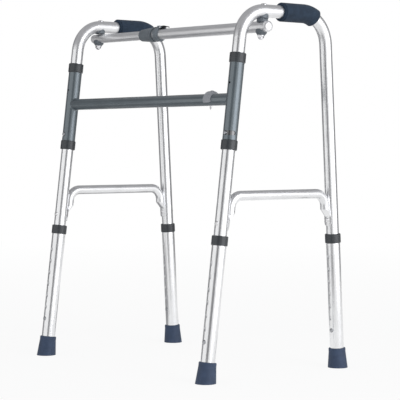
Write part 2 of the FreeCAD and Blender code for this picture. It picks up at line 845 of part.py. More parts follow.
def make_lock_pin():
    """Headed axle pin across the two ears."""
    reach = lever_width / 2 + lever_play + lock_ear_thickness
    head = dome(lock_pin_head / 2, reach, lock_pin_head_height)
    outline = [(radius, -height) for radius, height in reversed(head)]
    outline += [(lock_pin_diameter / 2, -reach), (lock_pin_diameter / 2, reach)]
    outline += head
    centre = Vec(lock_axle_up, 0, lock_axle_reach)
    solid = turned(outline, frame_at(centre, crosswise, across))
    solid.Placement = lock_frame().multiply(solid.Placement)
    return solid


# ---- pivots of the top bar ----

def side_outline_core(side):
    """The side tube's full outline, to seat bushes and bolt heads on."""
    points = [front_axis(side, crossbar_height), front_axis(side, handle_height)]
    points += [rear_axis(side, handle_height), rear_axis(side, crossbar_height)]
    path = bent_path(points, [side_bend_radius, side_bend_radius])
    return swept(path, points[0], front_up, side_radius + saddle_fit)


def bar_core(side):
    drop, radius = PIVOTS[side]
    return drill(bolt_point(side, drop), bar_run, radius + saddle_fit)


def saddle_disc(side, drop, height):
    """Bored disc on the bolt, bevelled at both ends."""
    rim = saddle_diameter / 2
    outline = [(bolt_hole, 0), (rim - saddle_bevel, 0), (rim, saddle_bevel)]
    outline += [(rim, height - saddle_bevel), (rim - saddle_bevel, height), (bolt_hole, height)]
    return turned(outline, frame_at(bolt_point(side, drop), front_up, across))


def lowest_solid(shape):
    return min(shape.Solids, key=lambda solid: solid.CenterOfMass.z)


def make_tube_saddle(side):
    """Bush that hangs under the handle tube; the left one ends just above the bar."""
    solid = saddle_disc(side, tube_saddle_drop, tube_saddle_drop)
    return lowest_solid(solid.cut(side_outline_core(side)))


def make_bar_saddle():
    """Lower half of the right pivot's bush, seated on the outer bar and round its sides."""
    base = bar_drop_right - outer_bar_radius + saddle_wrap
    height = base - tube_saddle_drop - saddle_gap
    return single(saddle_disc(1, base, height).cut(bar_core(1)))


def bush_drop(side):
    """Drop of the lower bush's flat underside."""
    drop, radius = PIVOTS[side]
    return drop + radius + lower_bush_below


def make_lower_bush(side):
    """Conical bush that cups the underside of the bar."""
    rim = lower_bush_diameter / 2
    outline = [(bolt_hole, 0), (lower_bush_bottom / 2, 0), (rim, lower_bush_taper)]
    outline += [(rim, lower_bush_height), (bolt_hole, lower_bush_height)]
    base = bolt_point(side, bush_drop(side))
    solid = turned(outline, frame_at(base, front_up, across))
    return lowest_solid(solid.cut(bar_core(side)))


def make_cap_nut(side):
    """Domed hexagon nut; the right one is bored for its bolt and the left one holds its own."""
    corner = nut_across / math.sqrt(3)
    points = []
    for index in range(7):
        angle = math.pi / 3 * index
        points.append(Vec(corner * math.cos(angle), corner * math.sin(angle), 0))
    hexagon = Part.Face(Part.makePolygon(points)).extrude(upright * nut_height)
    edge = nut_height - nut_chamfer
    cone = [(0, 0), (corner, 0), (corner, edge), (corner - nut_chamfer, nut_height), (0, nut_height)]
    solid = hexagon.common(turned(cone, FreeCAD.Placement()))
    cap = [(0, 0)] + dome(nut_dome_radius, edge, nut_dome_height)
    cap.insert(1, (nut_dome_radius, 0))
    solid = solid.fuse(turned(cap, FreeCAD.Placement()))
    solid = solid.fuse(Part.makeCylinder(corner + nut_flange_step, nut_flange_height))
    if side > 0:
        solid = solid.cut(Part.makeCylinder(bolt_radius + nut_fit, nut_height))
    else:
        tail = lower_bush_below + inner_bar_radius * 2 - nut_tail_inset
        solid = solid.fuse(Part.makeCylinder(bolt_radius, tail, Vec(0, 0, -tail)))
    solid = solid.removeSplitter()
    solid.Placement = frame_at(bolt_point(side, bush_drop(side)), front_up * -1, across)
    return single(solid)


def make_bolt(side):
    """Domed bolt from the top of the handle tube."""
    head = bolt_head_diameter / 2
    if side > 0:
        length = bush_drop(side) + nut_height - bolt_end_inset
    else:
        length = tube_saddle_drop
    outline = [(0, -length), (bolt_radius, -length), (bolt_radius, bolt_head_skirt)]
    outline.append((head, bolt_head_skirt))
    outline += dome(head, side_radius, bolt_head_height)
    solid = turned(outline, frame_at(bolt_point(side, 0), front_up, across))
    bolt_way = rod(bolt_point(side, tool_reach), front_up, bolt_radius, tool_reach * 2)
    trimmed = solid.cut(side_outline_core(side).cut(bolt_way))
    return max(trimmed.Solids, key=lambda piece: piece.Volume)


# ---- every piece, by the name of its file ----

def all_pieces():
    pieces = {"crossbar": make_crossbar(), "crossbar_clip": make_clip()}
    pieces["crossbar_clip_screw"] = make_clip_screw()
    for name, side in SIDES.items():
        pieces["sleeve_" + name] = make_sleeve(side)
        pieces["sleeve_weld_" + name] = make_weld(side)
        pieces["side_tube_" + name] = make_side_tube(side)
        pieces["brace_" + name] = make_brace(side)
        pieces["brace_rivets_" + name] = make_rivets(side)
        pieces["grip_" + name] = make_grip(side)
        for kind in LEGS:
            pieces["lower_leg_%s_%s" % (kind, name)] = make_lower_leg(side, kind)
            pieces["leg_collar_%s_%s" % (kind, name)] = make_leg_collar(side, kind)
            pieces["tip_%s_%s" % (kind, name)] = make_tip(side, kind)
        for kind, height, outside, label in button_places(side):
            pieces["%s_button_%s" % (label, name)] = make_button(side, kind, height, outside)
            pieces["%s_spring_%s" % (label, name)] = make_spring(side, kind, height)
        pieces["bar_cap_" + name] = make_bar_cap(side)
        pieces["tube_saddle_" + name] = make_tube_saddle(side)
        pieces["lower_bush_" + name] = make_lower_bush(side)
        pieces["pivot_bolt_" + name] = make_bolt(side)
        pieces["cap_nut_" + name] = make_cap_nut(side)
    both = SIDES.values()
    for level, top in (("top", True), ("bottom", False)):
        collars = [make_sleeve_collar(side, top) for side in both]
        pieces["sleeve_collars_" + level] = Part.makeCompound(collars)
    pieces["bar_saddle_right"] = make_bar_saddle()
    pieces["bar_inner_tube"] = make_inner_bar()
    pieces["bar_outer_tube"] = make_outer_bar()
    pieces["bar_liner"] = make_bar_liner()
    pieces["bar_mouth_collar"] = make_mouth_collar()
    pieces["lock_clip"] = make_lock_clip()
    pieces["lock_lever"] = make_lock_lever()
    pieces["lock_pin"] = make_lock_pin()
    return pieces


os.makedirs("parts", exist_ok=True)
for piece_name, piece in all_pieces().items():
    piece.exportStep("parts/%s.step" % piece_name)
    box = piece.BoundBox
    print("%-28s solids %d valid %s volume %9.1f  z %7.2f..%7.2f" % (
        piece_name, len(piece.Solids), piece.isValid(), piece.Volume, box.ZMin, box.ZMax))
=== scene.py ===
import math

import bmesh
import bpy
from mathutils import Matrix, Vector


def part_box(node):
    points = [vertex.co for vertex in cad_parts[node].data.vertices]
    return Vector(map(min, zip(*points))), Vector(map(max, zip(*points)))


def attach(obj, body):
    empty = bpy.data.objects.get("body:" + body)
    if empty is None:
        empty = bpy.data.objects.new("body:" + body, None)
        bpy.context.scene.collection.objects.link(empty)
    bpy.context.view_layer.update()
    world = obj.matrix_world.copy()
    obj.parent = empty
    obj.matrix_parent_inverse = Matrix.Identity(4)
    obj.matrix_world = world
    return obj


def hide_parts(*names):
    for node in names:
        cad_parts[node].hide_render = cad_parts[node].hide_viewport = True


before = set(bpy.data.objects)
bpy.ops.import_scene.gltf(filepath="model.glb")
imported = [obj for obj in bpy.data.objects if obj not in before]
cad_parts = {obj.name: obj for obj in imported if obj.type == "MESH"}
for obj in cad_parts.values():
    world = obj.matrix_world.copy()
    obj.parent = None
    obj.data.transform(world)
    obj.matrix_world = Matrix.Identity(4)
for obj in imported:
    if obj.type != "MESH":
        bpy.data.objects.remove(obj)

bl_info = {
    "name": "Walking Frame Looks",
    "version": (1, 0, 0),
    "blender": (4, 5, 0),
    "location": "View3D > Sidebar > Walking Frame",
    "description": "Finishes the tubes, fittings, grips and tips of a folding walking frame",
    "category": "Object",
}

# Lengths are in metres, in the CAD's frame: x across, y from front to rear, z up.

SIDES = ("left", "right")
LEGS = ("front_left", "front_right", "rear_left", "rear_right")


def each(stem, places=SIDES):
    """Names of like nodes, one for each place."""
    return [stem + "_" + place for place in places]


def nodes_with(*words):
    """Names of the CAD nodes that hold any of these words."""
    return [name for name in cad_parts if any(word in name for word in words)]


def middle(node):
    """Centre of a CAD node's box."""
    low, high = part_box(node)
    return (low + high) / 2


# ---- node trees ----

# Sockets of a Mix node that mixes colours.
MIX_FACTOR, MIX_FIRST, MIX_SECOND, MIX_RESULT = 0, 6, 7, 2


def new_material(name):
    """New material, with its node tree and its shader."""
    material = bpy.data.materials.new(name)
    material.use_nodes = True
    tree = material.node_tree
    return material, tree, tree.nodes["Principled BSDF"]


def set_inputs(made, values):
    """Writes the values of a node's unlinked inputs."""
    for name, value in values.items():
        made.inputs[name].default_value = value


def node(tree, kind, values=None, **settings):
    """One node, with its settings and the values of its unlinked inputs."""
    made = tree.nodes.new(kind)
    for name, value in settings.items():
        setattr(made, name, value)
    set_inputs(made, values or {})
    return made


def source_of(entry):
    """Socket that feeds a linked input."""
    return entry.links[0].from_socket


def object_coordinates(tree, scale=(1.0, 1.0, 1.0)):
    """Object coordinates, stretched by a scale on each axis."""
    place = node(tree, "ShaderNodeTexCoord")
    mapping = node(tree, "ShaderNodeMapping", {"Scale": scale})
    tree.links.new(place.outputs["Object"], mapping.inputs["Vector"])
    return mapping.outputs["Vector"]


def noise(tree, coordinates, scale, detail=3.0, roughness=0.5):
    """Soft noise from 0 to 1."""
    made = node(tree, "ShaderNodeTexNoise",
                {"Scale": scale, "Detail": detail, "Roughness": roughness})
    tree.links.new(coordinates, made.inputs["Vector"])
    return made.outputs["Fac"]


def remap(tree, source, low, high, start=0.0, end=1.0):
    """Linear change of a value's range from start..end to low..high."""
    made = node(tree, "ShaderNodeMapRange", {"From Min": start, "From Max": end,
                                             "To Min": low, "To Max": high})
    tree.links.new(source, made.inputs["Value"])
    return made.outputs["Result"]


def combine(tree, operation, first, second):
    """Result of one operation on two values."""
    made = node(tree, "ShaderNodeMath", operation=operation)
    tree.links.new(first, made.inputs[0])
    tree.links.new(second, made.inputs[1])
    return made.outputs["Value"]


def between(tree, value, low, high, blend):
    """1 where a value lies between two limits, with soft ends."""
    rise = remap(tree, value, 0.0, 1.0, low - blend, low + blend)
    fall = remap(tree, value, 1.0, 0.0, high - blend, high + blend)
    return combine(tree, "MULTIPLY", rise, fall)


def shaded(colour, factor):
    """Darker or paler copy of a colour."""
    return tuple(channel * factor for channel in colour)


def colour_mix(tree, factor, first, second):
    """Mix of two colours by a value, each written in or taken from a socket."""
    made = node(tree, "ShaderNodeMix", data_type="RGBA")
    tree.links.new(factor, made.inputs[MIX_FACTOR])
    for colour, entry in ((first, made.inputs[MIX_FIRST]), (second, made.inputs[MIX_SECOND])):
        if isinstance(colour, bpy.types.NodeSocket):
            tree.links.new(colour, entry)
        else:
            entry.default_value = (*colour, 1.0)
    return made.outputs[MIX_RESULT]


def drifting_colour(tree, shader, pattern, colour, shades, span):
    """Base colour that drifts between two shades as a pattern crosses a span."""
    share = remap(tree, pattern, 0.0, 1.0, *span)
    tone = colour_mix(tree, share, *[shaded(colour, shade) for shade in shades])
    tree.links.new(tone, shader.inputs["Base Color"])


def varied_roughness(tree, shader, pattern, roughness, spread, span=(0.0, 1.0)):
    """Roughness that moves over a spread as a pattern crosses a span."""
    low, high = [roughness + change for change in spread]
    tree.links.new(remap(tree, pattern, low, high, *span), shader.inputs["Roughness"])


def bump(tree, shader, height, distance, strength):
    """Fine relief that only turns the surface's normal."""
    made = node(tree, "ShaderNodeBump", {"Distance": distance, "Strength": strength})
    tree.links.new(height, made.inputs["Height"])
    tree.links.new(made.outputs["Normal"], shader.inputs["Normal"])


def mix_surface(tree, output, share, first, second):
    """Surface of a tree as a mix of two shaders by a value."""
    blend = node(tree, "ShaderNodeMixShader")
    tree.links.new(share, blend.inputs["Fac"])
    tree.links.new(first, blend.inputs[1])
    tree.links.new(second, blend.inputs[2])
    tree.links.new(blend.outputs["Shader"], tree.nodes[output].inputs["Surface"])


def finish(names, material):
    """Gives every slot of these CAD nodes one material."""
    for name in names:
        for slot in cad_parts[name].material_slots:
            slot.material = material


# ---- materials ----

# Noise scales on x, y and z: fine across a drawn tube and long along it.
ACROSS, ALONG = 900.0, 9.0
UPRIGHT_GRAIN = (ACROSS, ACROSS, ALONG)
LENGTHWISE_GRAIN = (ACROSS, ALONG, ACROSS)
CROSSWISE_GRAIN = (ALONG, ACROSS, ACROSS)

HANDLE_WEAR_START, HANDLE_WEAR_END = 0.63, 0.7   # heights over which a side tube turns duller
HANDLE_DULLING = 0.16                            # roughness that the handle gains
SLEEVE_PAINTED_SHADE = 0.22                              # tone of the painted shade on the tube inside a front sleeve
SLEEVE_SHADE_INSET, SLEEVE_SHADE_EDGE = 0.004, 0.002         # unshaded part at a sleeve's ends, and soft edge of the painted shade
FRONT_HALF, FRONT_EDGE = (-0.3, 0.0), 0.01       # y of the front legs, and soft edge
HAZE_SHADE = 0.9                                 # darkest tone of plated metal


def satin_metal(name, colour, roughness, grain):
    """Anodised tube: drawing lines along the grain and soft blotches."""
    material, tree, shader = new_material(name)
    lines = noise(tree, object_coordinates(tree, grain), scale=1.0, detail=4.0, roughness=0.6)
    blotches = noise(tree, object_coordinates(tree), scale=26.0)
    drifting_colour(tree, shader, blotches, colour, shades=(0.93, 1.0), span=(0.35, 0.65))
    varied_roughness(tree, shader, lines, roughness, spread=(-0.05, 0.07), span=(0.3, 0.7))
    bump(tree, shader, lines, distance=0.00002, strength=0.35)
    set_inputs(shader, {"Metallic": 1.0})
    return material


def side_tube_metal(name, colour, roughness, grain):
    """Satin tube, duller on the handle, with painted shade where a front sleeve covers it."""
    material = satin_metal(name, colour, roughness, grain)
    tree = material.node_tree
    shader = tree.nodes["Principled BSDF"]
    place = node(tree, "ShaderNodeSeparateXYZ")
    tree.links.new(object_coordinates(tree), place.inputs["Vector"])
    depth, height = place.outputs["Y"], place.outputs["Z"]

    dulling = remap(tree, height, 0.0, HANDLE_DULLING, HANDLE_WEAR_START, HANDLE_WEAR_END)
    worn = combine(tree, "ADD", source_of(shader.inputs["Roughness"]), dulling)
    tree.links.new(worn, shader.inputs["Roughness"])

    # Painted shade: the tube is darkened inside the front sleeves, where the sleeve shades it.
    sleeve_low, sleeve_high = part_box("sleeve_left")
    inside = between(tree, height, sleeve_low.z + SLEEVE_SHADE_INSET, sleeve_high.z - SLEEVE_SHADE_INSET,
                     SLEEVE_SHADE_EDGE)
    covered = combine(tree, "MULTIPLY", inside, between(tree, depth, *FRONT_HALF, FRONT_EDGE))
    shaded_in_sleeve = colour_mix(tree, covered, source_of(shader.inputs["Base Color"]),
                         shaded(colour, SLEEVE_PAINTED_SHADE))
    tree.links.new(shaded_in_sleeve, shader.inputs["Base Color"])
    return material


def grey_paint(name, colour, roughness):
    """Semi-gloss paint with a faint orange peel and a slight drift in tone."""
    material, tree, shader = new_material(name)
    coordinates = object_coordinates(tree)
    peel = noise(tree, coordinates, scale=900.0, detail=2.0)
    blotches = noise(tree, coordinates, scale=30.0, detail=4.0)
    drifting_colour(tree, shader, blotches, colour, shades=(0.9, 1.0), span=(0.35, 0.65))
    varied_roughness(tree, shader, blotches, roughness, spread=(-0.04, 0.05))
    bump(tree, shader, peel, distance=0.00003, strength=0.3)
    set_inputs(shader, {"Metallic": 0.6, "Coat Weight": 0.7, "Coat IOR": 1.7,
                        "Coat Roughness": 0.12})
    return material


def moulded_plastic(name, colour, roughness):
    """Fine-grained injection moulding with rubbed, slightly paler patches."""
    material, tree, shader = new_material(name)
    coordinates = object_coordinates(tree)
    grain = noise(tree, coordinates, scale=2200.0, detail=2.0)
    patches = noise(tree, coordinates, scale=60.0, detail=4.0)
    drifting_colour(tree, shader, patches, colour, shades=(1.0, 1.25), span=(0.4, 0.7))
    varied_roughness(tree, shader, patches, roughness, spread=(-0.06, 0.06))
    bump(tree, shader, grain, distance=0.00004, strength=0.4)
    return material


def moulded_rubber(name, colour, roughness):
    """Matt rubber with dusty patches and a fine skin."""
    material, tree, shader = new_material(name)
    coordinates = object_coordinates(tree)
    grain = noise(tree, coordinates, scale=1500.0)
    dust = noise(tree, coordinates, scale=45.0, detail=5.0)
    drifting_colour(tree, shader, dust, colour, shades=(1.0, 1.35), span=(0.45, 0.75))
    varied_roughness(tree, shader, dust, roughness, spread=(-0.09, 0.09))
    bump(tree, shader, grain, distance=0.00006, strength=0.5)
    set_inputs(shader, {"Specular IOR Level": 0.35, "Sheen Weight": 0.08})
    return material


def closed_foam(name, colour, roughness):
    """Closed-cell foam: a matt skin of tiny cells with soft mottling."""
    material, tree, shader = new_material(name)
    coordinates = object_coordinates(tree)
    cells = node(tree, "ShaderNodeTexVoronoi", {"Scale": 900.0})
    tree.links.new(coordinates, cells.inputs["Vector"])
    mottle = noise(tree, coordinates, scale=70.0, detail=5.0, roughness=0.6)
    drifting_colour(tree, shader, mottle, colour, shades=(0.8, 1.2), span=(0.35, 0.7))
    bump(tree, shader, cells.outputs["Distance"], distance=0.00025, strength=0.5)
    set_inputs(shader, {"Roughness": roughness, "Specular IOR Level": 0.2,
                        "Sheen Weight": 0.08, "Sheen Roughness": 0.5})
    return material


def plated_steel(name, colour, roughness):
    """Plated metal with a faint haze in its tone and gloss."""
    material, tree, shader = new_material(name)
    haze = noise(tree, object_coordinates(tree), scale=180.0)
    varied_roughness(tree, shader, haze, roughness, spread=(-0.04, 0.08))
    tone = colour_mix(tree, haze, shaded(colour, HAZE_SHADE), colour)
    tree.links.new(tone, shader.inputs["Base Color"])
    set_inputs(shader, {"Metallic": 1.0})
    return material


# ---- mesh helpers ----

MERGE_DISTANCE = 1e-6
MERGE_DIGITS = 6


def clean(mesh):
    """Merges the points that meet, and turns every face outwards."""
    bmesh.ops.remove_doubles(mesh, verts=mesh.verts, dist=MERGE_DISTANCE)
    bmesh.ops.recalc_face_normals(mesh, faces=mesh.faces)


def to_object(mesh, name, material, smooth_angle):
    """Object of a bmesh, smooth apart from edges sharper than an angle in degrees."""
    clean(mesh)
    data = bpy.data.meshes.new(name)
    mesh.to_mesh(data)
    mesh.free()
    made = bpy.data.objects.new(name, data)
    bpy.context.scene.collection.objects.link(made)
    data.materials.append(material)
    data.shade_smooth()
    data.set_sharp_from_angle(angle=math.radians(smooth_angle))
    return made


# ---- sizes and colours that a user may change ----

class FrameColours(bpy.types.PropertyGroup):
    tube: bpy.props.FloatVectorProperty(
        name="Tube", description="Anodised aluminium of the legs, braces and top bar",
        subtype="COLOR", size=3, min=0.0, max=1.0, default=(0.87, 0.875, 0.885))
    paint: bpy.props.FloatVectorProperty(
        name="Grey paint", description="Paint of the front sleeves and the crossbar",
        subtype="COLOR", size=3, min=0.0, max=1.0, default=(0.135, 0.168, 0.19))
    collar: bpy.props.FloatVectorProperty(
        name="Collars", description="Dark plastic of the tube collars",
        subtype="COLOR", size=3, min=0.0, max=1.0, default=(0.04, 0.045, 0.05))
    fitting: bpy.props.FloatVectorProperty(
        name="Fittings", description="Grey plastic of the pivot bushes, bar collar and lock",
        subtype="COLOR", size=3, min=0.0, max=1.0, default=(0.13, 0.15, 0.17))
    clip: bpy.props.FloatVectorProperty(
        name="Crossbar clip", description="Pale plastic of the clip on the crossbar",
        subtype="COLOR", size=3, min=0.0, max=1.0, default=(0.32, 0.335, 0.36))
    foam: bpy.props.FloatVectorProperty(
        name="Grip foam", description="Foam of the hand grips",
        subtype="COLOR", size=3, min=0.0, max=1.0, default=(0.025, 0.043, 0.072))
    rubber: bpy.props.FloatVectorProperty(
        name="Tip rubber", description="Rubber of the leg tips",
        subtype="COLOR", size=3, min=0.0, max=1.0, default=(0.042, 0.065, 0.118))
    bolt: bpy.props.FloatVectorProperty(
        name="Bolts", description="Plated steel of the pivot bolts, nuts, lock pin and screw",
        subtype="COLOR", size=3, min=0.0, max=1.0, default=(0.78, 0.78, 0.8))
    button: bpy.props.FloatVectorProperty(
        name="Buttons", description="Steel of the spring buttons",
        subtype="COLOR", size=3, min=0.0, max=1.0, default=(0.42, 0.43, 0.45))
    rivet: bpy.props.FloatVectorProperty(
        name="Rivets", description="Metal of the brace rivets",
        subtype="COLOR", size=3, min=0.0, max=1.0, default=(0.82, 0.82, 0.83))
    spring: bpy.props.FloatVectorProperty(
        name="Springs", description="Steel of the leaf springs behind the buttons",
        subtype="COLOR", size=3, min=0.0, max=1.0, default=(0.5, 0.5, 0.51))


class GripSizes(bpy.types.PropertyGroup):
    radius: bpy.props.FloatProperty(
        name="Radius", description="Outer radius of the foam", unit="LENGTH", precision=5,
        min=0.015, max=0.03, default=0.01875)
    wall: bpy.props.FloatProperty(
        name="Wall", description="Thickness of the foam round the tube", unit="LENGTH",
        precision=5, min=0.001, max=0.012, default=0.006)
    rounding: bpy.props.FloatProperty(
        name="Rounding", description="Rounding of the foam's outer rims", unit="LENGTH",
        precision=5, min=0.0005, max=0.005, default=0.004)
    wrap: bpy.props.FloatProperty(
        name="Wrap", description="How far the foam follows the bend of the tube",
        subtype="ANGLE", min=math.radians(5.0), max=math.radians(60.0),
        default=math.radians(30.0))


class StageSettings(bpy.types.PropertyGroup):
    floor_size: bpy.props.FloatProperty(
        name="Floor", description="Length of each side of the floor", unit="LENGTH",
        default=60.0)
    key_power: bpy.props.FloatProperty(
        name="Key light", description="Power of the large light beside the camera",
        unit="POWER", default=55.0)
    fill_power: bpy.props.FloatProperty(
        name="Fill light", description="Power of the light on the far side", unit="POWER",
        default=14.0)
    lens: bpy.props.FloatProperty(
        name="Lens", description="Focal length of the camera", unit="CAMERA", default=142.2)
    camera_place: bpy.props.FloatVectorProperty(
        name="Camera", description="Where the camera stands", subtype="XYZ", unit="LENGTH",
        size=3, default=(2.5725, -2.0895, 0.4513))
    camera_azimuth: bpy.props.FloatProperty(
        name="Azimuth", description="Angle of the camera round the frame, from the front",
        subtype="ANGLE", default=math.radians(50.47))
    camera_tilt: bpy.props.FloatProperty(
        name="Tilt", description="How far the camera looks down", subtype="ANGLE",
        default=math.radians(1.946))


# ---- operators: one for each group of like pieces ----

LOCK_SHADE = 1.15    # tones of the lock's ring and lever against the fittings
LEVER_SHADE = 0.2


class WALKING_FRAME_OT_finish_tubes(bpy.types.Operator):
    """Satin finish for the side tubes, lower legs, braces and top bar"""
    bl_idname = "walking_frame.finish_tubes"
    bl_label = "Finish Tubes"

    def execute(self, context):
        colour = context.scene.frame_colours.tube
        finish(each("side_tube"),
               side_tube_metal("satin_side_tube", colour, roughness=0.2, grain=UPRIGHT_GRAIN))
        finish(each("lower_leg", LEGS),
               satin_metal("satin_leg_tube", colour, roughness=0.2, grain=UPRIGHT_GRAIN))
        finish(each("brace"),
               satin_metal("satin_brace_tube", colour, roughness=0.3, grain=LENGTHWISE_GRAIN))
        finish(["bar_inner_tube", "bar_outer_tube"] + each("bar_cap"),
               satin_metal("satin_bar_tube", colour, roughness=0.33, grain=CROSSWISE_GRAIN))
        return {"FINISHED"}


class WALKING_FRAME_OT_finish_grey_tubes(bpy.types.Operator):
    """Grey paint for the front sleeves, the crossbar and its welds"""
    bl_idname = "walking_frame.finish_grey_tubes"
    bl_label = "Finish Grey Tubes"

    def execute(self, context):
        colour = context.scene.frame_colours.paint
        paint = grey_paint("grey_tube_paint", colour, roughness=0.32)
        finish(["crossbar"] + each("sleeve") + each("sleeve_weld"), paint)
        return {"FINISHED"}


class WALKING_FRAME_OT_finish_collars(bpy.types.Operator):
    """Dark plastic for the collars of the sleeves and lower legs"""
    bl_idname = "walking_frame.finish_collars"
    bl_label = "Finish Collars"

    def execute(self, context):
        colour = context.scene.frame_colours.collar
        plastic = moulded_plastic("collar_plastic", colour, roughness=0.26)
        finish(each("leg_collar", LEGS) + each("sleeve_collars", ("top", "bottom")), plastic)
        return {"FINISHED"}


class WALKING_FRAME_OT_finish_fittings(bpy.types.Operator):
    """Plastic for the pivot bushes, the top bar's collar and lock, and the crossbar's clip"""
    bl_idname = "walking_frame.finish_fittings"
    bl_label = "Finish Fittings"

    def execute(self, context):
        colours = context.scene.frame_colours
        finish(nodes_with("saddle", "bush") + ["bar_mouth_collar", "bar_liner"],
               moulded_plastic("fitting_plastic", colours.fitting, roughness=0.42))
        ring_colour = shaded(colours.fitting, LOCK_SHADE)
        finish(["lock_clip"], moulded_plastic("lock_plastic", ring_colour, roughness=0.32))
        lever_colour = shaded(colours.fitting, LEVER_SHADE)
        finish(["lock_lever"], moulded_plastic("lever_plastic", lever_colour, roughness=0.4))
        finish(["crossbar_clip"], moulded_plastic("clip_plastic", colours.clip, roughness=0.36))
        return {"FINISHED"}


class WALKING_FRAME_OT_finish_fasteners(bpy.types.Operator):
    """Plated steel for the bolts, nuts, pin, screw, buttons, rivets and springs"""
    bl_idname = "walking_frame.finish_fasteners"
    bl_label = "Finish Fasteners"

    def execute(self, context):
        colours = context.scene.frame_colours
        finish(each("pivot_bolt") + each("cap_nut") + ["lock_pin", "crossbar_clip_screw"],
               plated_steel("plated_steel", colours.bolt, roughness=0.12))
        finish(nodes_with("_button_"),
               plated_steel("button_steel", colours.button, roughness=0.28))
        finish(each("brace_rivets"),
               plated_steel("rivet_metal", colours.rivet, roughness=0.26))
        finish(nodes_with("_spring_"),
               plated_steel("spring_steel", colours.spring, roughness=0.3))
        return {"FINISHED"}


class WALKING_FRAME_OT_finish_tips(bpy.types.Operator):
    """Moulded rubber for the leg tips"""
    bl_idname = "walking_frame.finish_tips"
    bl_label = "Finish Tips"

    def execute(self, context):
        colour = context.scene.frame_colours.rubber
        finish(each("tip", LEGS), moulded_rubber("tip_rubber_skin", colour, roughness=0.59))
        return {"FINISHED"}


# ---- hand grips ----

GRIP_LOW, GRIP_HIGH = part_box("grip_right")   # the left one has the same length and height
BEND_RADIUS = 0.062      # centre line of the side tube's bends
GRIP_SEGMENTS = 64       # round the foam
STRAIGHT_CUTS = 24       # along the straight
BEND_STEPS = 14          # along the bend
RIM_SEGMENTS = 6         # across a rounded rim
GRIP_SMOOTH_ANGLE = 50   # degrees


def rounded_place(vertex):
    """A point's place, rounded so that it can be found again."""
    return tuple(round(value, MERGE_DIGITS) for value in vertex.co)


def grip_skin(side, sizes):
    """Outer skin of a grip: a ring drawn along the handle, then spun round the bend."""
    centre = middle("grip_" + side).x
    height = GRIP_HIGH.z - sizes.radius
    bend_start = GRIP_HIGH.y - (BEND_RADIUS + sizes.radius) * math.sin(sizes.wrap)
    mesh = bmesh.new()
    upright = Matrix.Rotation(math.pi / 2, 4, "X")
    bmesh.ops.create_circle(mesh, segments=GRIP_SEGMENTS, radius=sizes.radius,
                            matrix=Matrix.Translation((centre, GRIP_LOW.y, height)) @ upright)
    drawn = bmesh.ops.extrude_edge_only(mesh, edges=mesh.edges[:])["geom"]
    far_ring = [item for item in drawn if isinstance(item, bmesh.types.BMVert)]
    bmesh.ops.translate(mesh, verts=far_ring, vec=(0.0, bend_start - GRIP_LOW.y, 0.0))
    lengthwise = [edge for edge in mesh.edges
                  if abs((edge.verts[0].co - edge.verts[1].co).y) > sizes.rounding]
    bmesh.ops.subdivide_edges(mesh, edges=lengthwise, cuts=STRAIGHT_CUTS, use_grid_fill=True)
    bend_rim = [edge for edge in mesh.edges
                if all(abs(vertex.co.y - bend_start) < MERGE_DISTANCE for vertex in edge.verts)]
    bmesh.ops.spin(mesh, geom=bend_rim, cent=(centre, bend_start, height - BEND_RADIUS),
                   axis=(1.0, 0.0, 0.0), angle=-sizes.wrap, steps=BEND_STEPS)
    clean(mesh)
    return mesh


def add_wall(mesh, sizes):
    """Gives a grip's skin its wall inwards, and rounds its two outer rims."""
    rim_places = {rounded_place(vertex) for edge in mesh.edges if edge.is_boundary
                  for vertex in edge.verts}
    bmesh.ops.solidify(mesh, geom=mesh.faces[:], thickness=sizes.wall)
    rims = [edge for edge in mesh.edges
            if all(rounded_place(vertex) in rim_places for vertex in edge.verts)]
    bmesh.ops.bevel(mesh, geom=rims, offset=sizes.rounding, offset_type="OFFSET",
                    segments=RIM_SEGMENTS, profile=0.5, affect="EDGES", material=-1)


class WALKING_FRAME_OT_add_grips(bpy.types.Operator):
    """Foam grips on both handles"""
    bl_idname = "walking_frame.add_grips"
    bl_label = "Add Grips"

    def execute(self, context):
        colour = context.scene.frame_colours.foam
        foam = closed_foam("grip_foam_skin", colour, roughness=0.78)
        sizes = context.scene.frame_grips
        for side in SIDES:
            mesh = grip_skin(side, sizes)
            add_wall(mesh, sizes)
            made = to_object(mesh, "foam_grip_" + side, foam, GRIP_SMOOTH_ANGLE)
            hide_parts("grip_" + side)
            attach(made, side + "_frame")
        return {"FINISHED"}


# ---- stage ----

WHITE = (1.0, 1.0, 1.0, 1.0)
FLOOR_GREY = (0.85, 0.85, 0.85, 1.0)
SKY_COLOUR = (0.97, 0.98, 1.0, 1.0)
SKY_STRENGTH = 0.55
CARD_BLUE = 1.03         # blue of a card against its red and green
CARD_STEPS = 16
FLAT_ANGLE = 30          # degrees
CARD_ANGLE = 60          # degrees
SENSOR_WIDTH = 36.0      # millimetres
NEAREST, FARTHEST = 0.05, 100.0

LAMP_TARGET = Vector((0.0, 0.0, 0.4))
KEY_PLACE, KEY_WIDTH = Vector((3.6, 0.2, 2.2)), 2.2
FILL_PLACE, FILL_WIDTH = Vector((0.8, -3.6, 2.4)), 2.4

# Name, bearing from the camera's and spread in degrees, distance, height, grey.
UPRIGHT_CARDS = (
    ("back_card", 180.0, 160.0, 2.6, 2.2, 0.26),
    ("front_card", -14.0, 32.0, 2.0, 2.0, 0.27),
    ("side_card", 52.0, 46.0, 2.2, 2.0, 2.5),
)
# Name, centre, half a side, grey.
LEVEL_CARDS = (
    ("ceiling_card", (0.0, 0.0, 2.6), 4.5, 0.4),
    ("floor_card", (-1.25, -0.2, 0.004), 0.9, 0.33),
)
# Bearing from the camera's in degrees, place along it, half a side, grey.
FRONT_FLOOR_CARD = (-14.0, (1.2, 0.0, 0.004), 0.4, 0.3)


def seen_directly(tree):
    """1 for rays from the camera, in gloss and through glass, else 0."""
    rays = node(tree, "ShaderNodeLightPath").outputs
    total = rays["Is Camera Ray"]
    for ray in ("Is Glossy Ray", "Is Transmission Ray"):
        total = combine(tree, "MAXIMUM", total, rays[ray])
    return total


